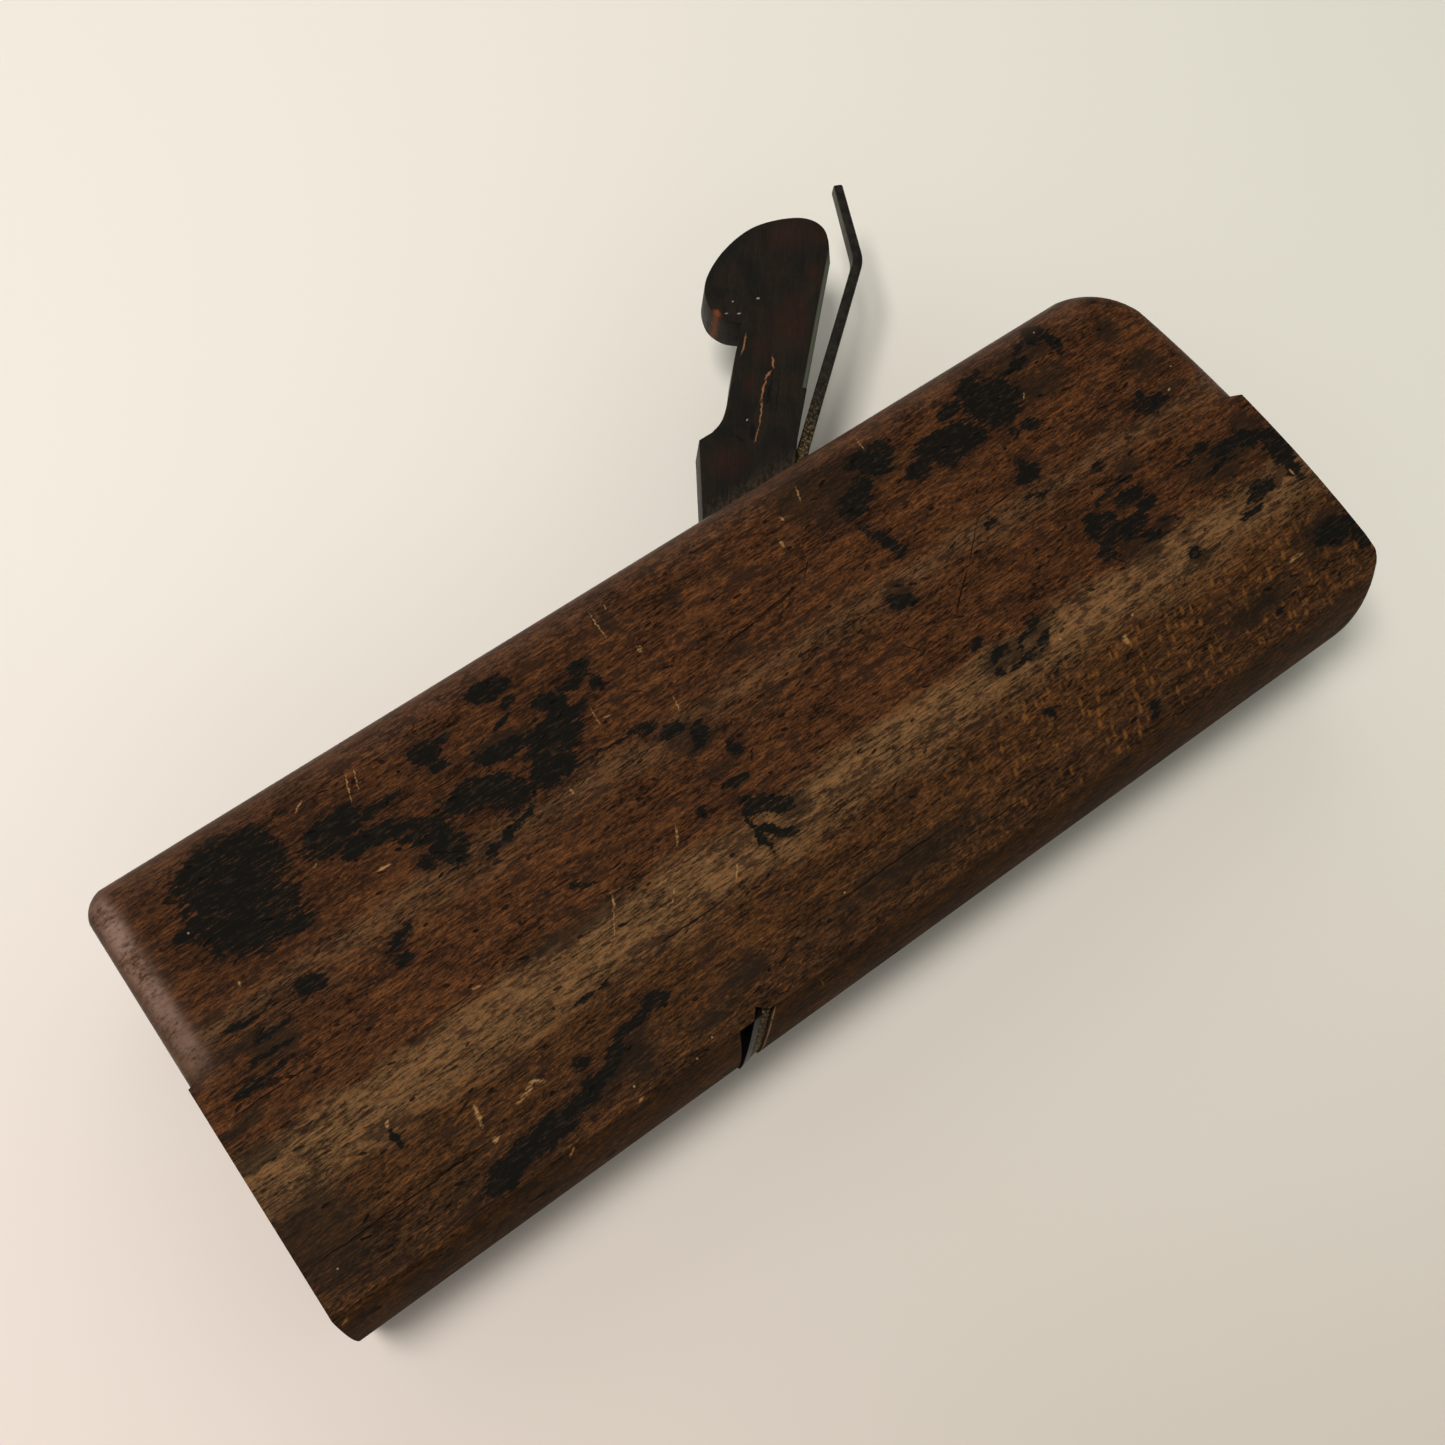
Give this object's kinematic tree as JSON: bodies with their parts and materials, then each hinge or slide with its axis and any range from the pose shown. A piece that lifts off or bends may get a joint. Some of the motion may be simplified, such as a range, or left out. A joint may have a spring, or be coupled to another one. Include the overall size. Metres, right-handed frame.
{
  "type": "side-escapement moulding plane",
  "caption": "Wooden moulding plane with a convex sole, a side escapement, a bent-tang iron and a round-headed wedge, lying on its side.",
  "frame": {"origin": "middle of the resting face on the escapement side, at mid-length of the stock", "axes": "+X from toe to heel, +Y from the sole to the top, +Z through the thickness to the blind side"},
  "size_m": [0.2413, 0.1407, 0.0381],
  "materials": {
    "stock_beech": "old oiled beech, stained and worn",
    "wedge_beech": "near-black oiled beech",
    "wrought_iron": "forged, brown and grey with rust",
    "edge_steel": "ground, dulled"
  },
  "bodies": {
    "stock": {"stock": "stock_beech"},
    "wedge": {"wedge": "wedge_beech"},
    "iron": {"iron": "wrought_iron", "steel_face": "edge_steel"}
  },
  "joints": [
    {"name": "wedge_slide", "type": "slide", "parent": "stock", "child": "wedge", "axis": [0.5446, 0.8387, 0], "range_m": [0, 0.1]},
    {"name": "iron_slide", "type": "slide", "parent": "stock", "child": "iron", "axis": [0.6494, 0.7604, 0], "range_m": [-0.0012, 0.002]}
  ]
}
